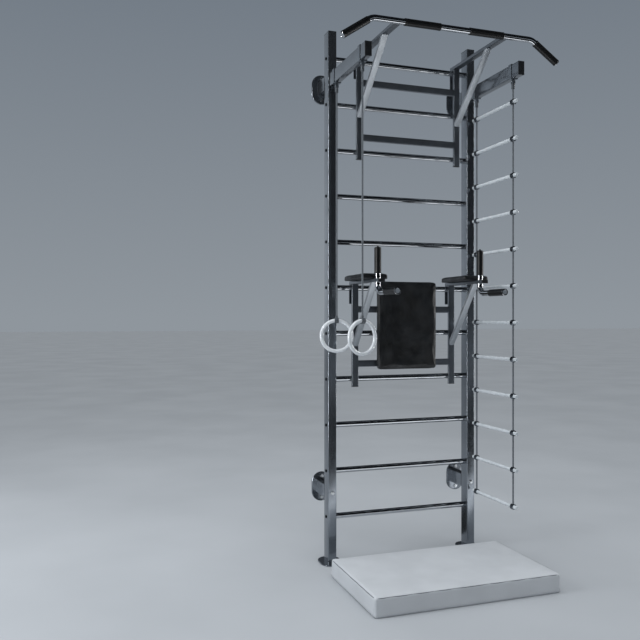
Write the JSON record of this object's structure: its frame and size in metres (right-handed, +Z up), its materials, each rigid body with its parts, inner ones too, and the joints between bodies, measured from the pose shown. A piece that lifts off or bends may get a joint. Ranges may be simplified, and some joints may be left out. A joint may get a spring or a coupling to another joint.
{
  "type": "wall bars home gym",
  "caption": "Wall-mounted climbing bars with a hooked-on pull-up bar, a hooked-on dip station with backrest, hanging rings, a rope ladder and a floor mat.",
  "frame": {"origin": "where the wall meets the floor, midway between the two posts", "axes": "+Z up, +Y into the wall, +X to the right of someone facing the wall"},
  "size_m": [1.0206, 0.84, 2.43],
  "materials": {
    "posts": "glossy graphite powder coat",
    "frame_tube": "satin dark grey powder coat",
    "brace": "light silver-grey powder coat",
    "chrome": "polished chrome plate",
    "strap": "satin steel",
    "zinc": "zinc-plated steel",
    "black_cap": "moulded black plastic",
    "grip": "matt black rubber",
    "board": "dark-stained plywood",
    "leather": "black leatherette",
    "rope": "grey braided polypropylene",
    "ring": "white gloss plastic",
    "fitting": "moulded grey nylon",
    "ladder_rung": "white plastic rod",
    "collar": "dark nickel plate",
    "vinyl": "pale grey vinyl"
  },
  "bodies": {
    "wall_bars": {"left_post": "posts", "right_post": "posts", "left_beam": "posts", "right_beam": "posts", "left_beam_straps": "strap", "right_beam_straps": "strap", "lower_left_bracket": "posts", "upper_left_bracket": "posts", "lower_right_bracket": "posts", "upper_right_bracket": "posts", "post_caps": "black_cap", "foot_plates": "posts", "beam_caps": "black_cap", "rung_01": "chrome", "rung_02": "chrome", "rung_03": "chrome", "rung_04": "chrome", "rung_05": "chrome", "rung_06": "chrome", "rung_07": "chrome", "rung_08": "chrome", "rung_09": "chrome", "rung_10": "chrome", "rung_11": "chrome", "rung_bolts": "zinc", "wall_screws": "zinc", "bracket_bolts": "zinc"},
    "pullup_unit": {"pullup_uprights": "frame_tube", "pullup_crossbars": "frame_tube", "pullup_hooks": "frame_tube", "pullup_arms": "frame_tube", "pullup_braces": "brace", "pullup_bar": "chrome", "pullup_grips": "grip", "pullup_end_plugs": "black_cap"},
    "dip_unit": {"dip_uprights": "frame_tube", "dip_crossbars": "frame_tube", "dip_hooks": "frame_tube", "dip_arms": "frame_tube", "dip_braces": "brace", "left_handle": "chrome", "left_elbow_pad": "leather", "right_handle": "chrome", "right_elbow_pad": "leather", "dip_grips": "grip", "dip_end_plugs": "black_cap", "backrest_board": "board", "backrest_pad": "leather"},
    "front_ring_line": {"front_ring_fittings": "fitting", "front_ring_rope": "rope"},
    "front_ring": {"front_ring": "ring"},
    "rear_ring_line": {"rear_ring_fittings": "fitting", "rear_ring_rope": "rope"},
    "rear_ring": {"rear_ring": "ring"},
    "rope_ladder": {"ladder_hangers": "fitting", "ladder_front_rope": "rope", "ladder_rear_rope": "rope", "ladder_rungs": "ladder_rung", "ladder_collars": "collar"},
    "mat": {"mat": "vinyl"}
  },
  "joints": [
    {"name": "pullup_lift", "type": "slide", "parent": "wall_bars", "child": "pullup_unit", "axis": [0, 0, 1], "range_m": [0, 0.09]},
    {"name": "dip_lift", "type": "slide", "parent": "wall_bars", "child": "dip_unit", "axis": [0, 0, 1], "range_m": [0, 0.09]},
    {"name": "front_ring_swing", "type": "hinge", "parent": "wall_bars", "child": "front_ring_line", "pos_m": [-0.3585, -0.52, 2.1625], "axis": [0, 1, 0], "range_deg": [-1, 45]},
    {"name": "front_ring_tilt", "type": "hinge", "parent": "front_ring_line", "child": "front_ring", "pos_m": [-0.3585, -0.52, 1.1095], "axis": [0.9511, 0.309, 0], "range_deg": [-40, 40]},
    {"name": "rear_ring_swing", "type": "hinge", "parent": "wall_bars", "child": "rear_ring_line", "pos_m": [-0.3585, -0.215, 2.1625], "axis": [0, 1, 0], "range_deg": [-1, 45]},
    {"name": "rear_ring_tilt", "type": "hinge", "parent": "rear_ring_line", "child": "rear_ring", "pos_m": [-0.3585, -0.215, 1.1095], "axis": [0.9511, -0.309, 0], "range_deg": [-40, 12]},
    {"name": "ladder_swing", "type": "hinge", "parent": "wall_bars", "child": "rope_ladder", "pos_m": [0.3585, -0.3675, 2.1625], "axis": [0, -1, 0], "range_deg": [-1, 35]},
    {"name": "mat_slide", "type": "slide", "parent": "wall_bars", "child": "mat", "axis": [0, 1, 0], "range_m": [-0.3, 0.1]}
  ]
}
